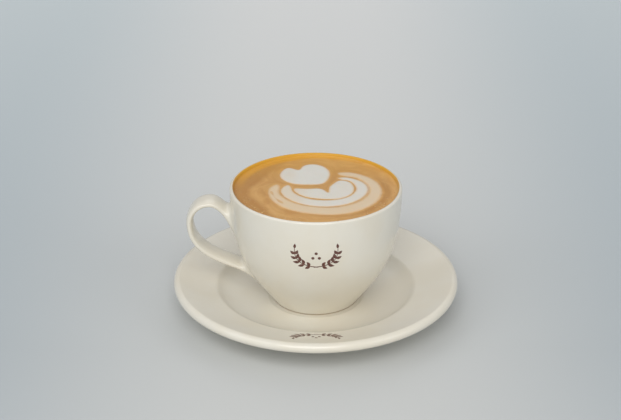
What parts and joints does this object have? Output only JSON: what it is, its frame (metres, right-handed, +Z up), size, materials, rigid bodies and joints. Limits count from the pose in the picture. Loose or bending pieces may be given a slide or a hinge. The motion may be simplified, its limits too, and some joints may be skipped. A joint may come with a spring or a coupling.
{
  "type": "cup of white chocolate mocha on a saucer",
  "caption": "Milk coffee with poured foam art, filled nearly to the brim of a rounded handled cup that rests in the seat of a wide saucer.",
  "frame": {"origin": "middle of the saucer's foot ring, on the surface it stands on", "axes": "+Z up through the middle of saucer and cup, the handle points along -X, so the shown front faces -Y"},
  "size_m": [0.16, 0.16, 0.0734],
  "materials": {
    "stoneware": "clear gloss glaze over an ivory body",
    "crema": "soft satin coffee froth, matte_plastic stands for the wet froth",
    "milk_foam": "soft satin milk foam, matte_plastic stands for the wet foam"
  },
  "bodies": {
    "root": {"saucer": "stoneware", "cup": "stoneware", "drink": "crema", "foam_heart": "milk_foam", "foam_petal_inner": "milk_foam", "foam_petal_middle": "milk_foam", "foam_petal_outer": "milk_foam"}
  },
  "joints": []
}
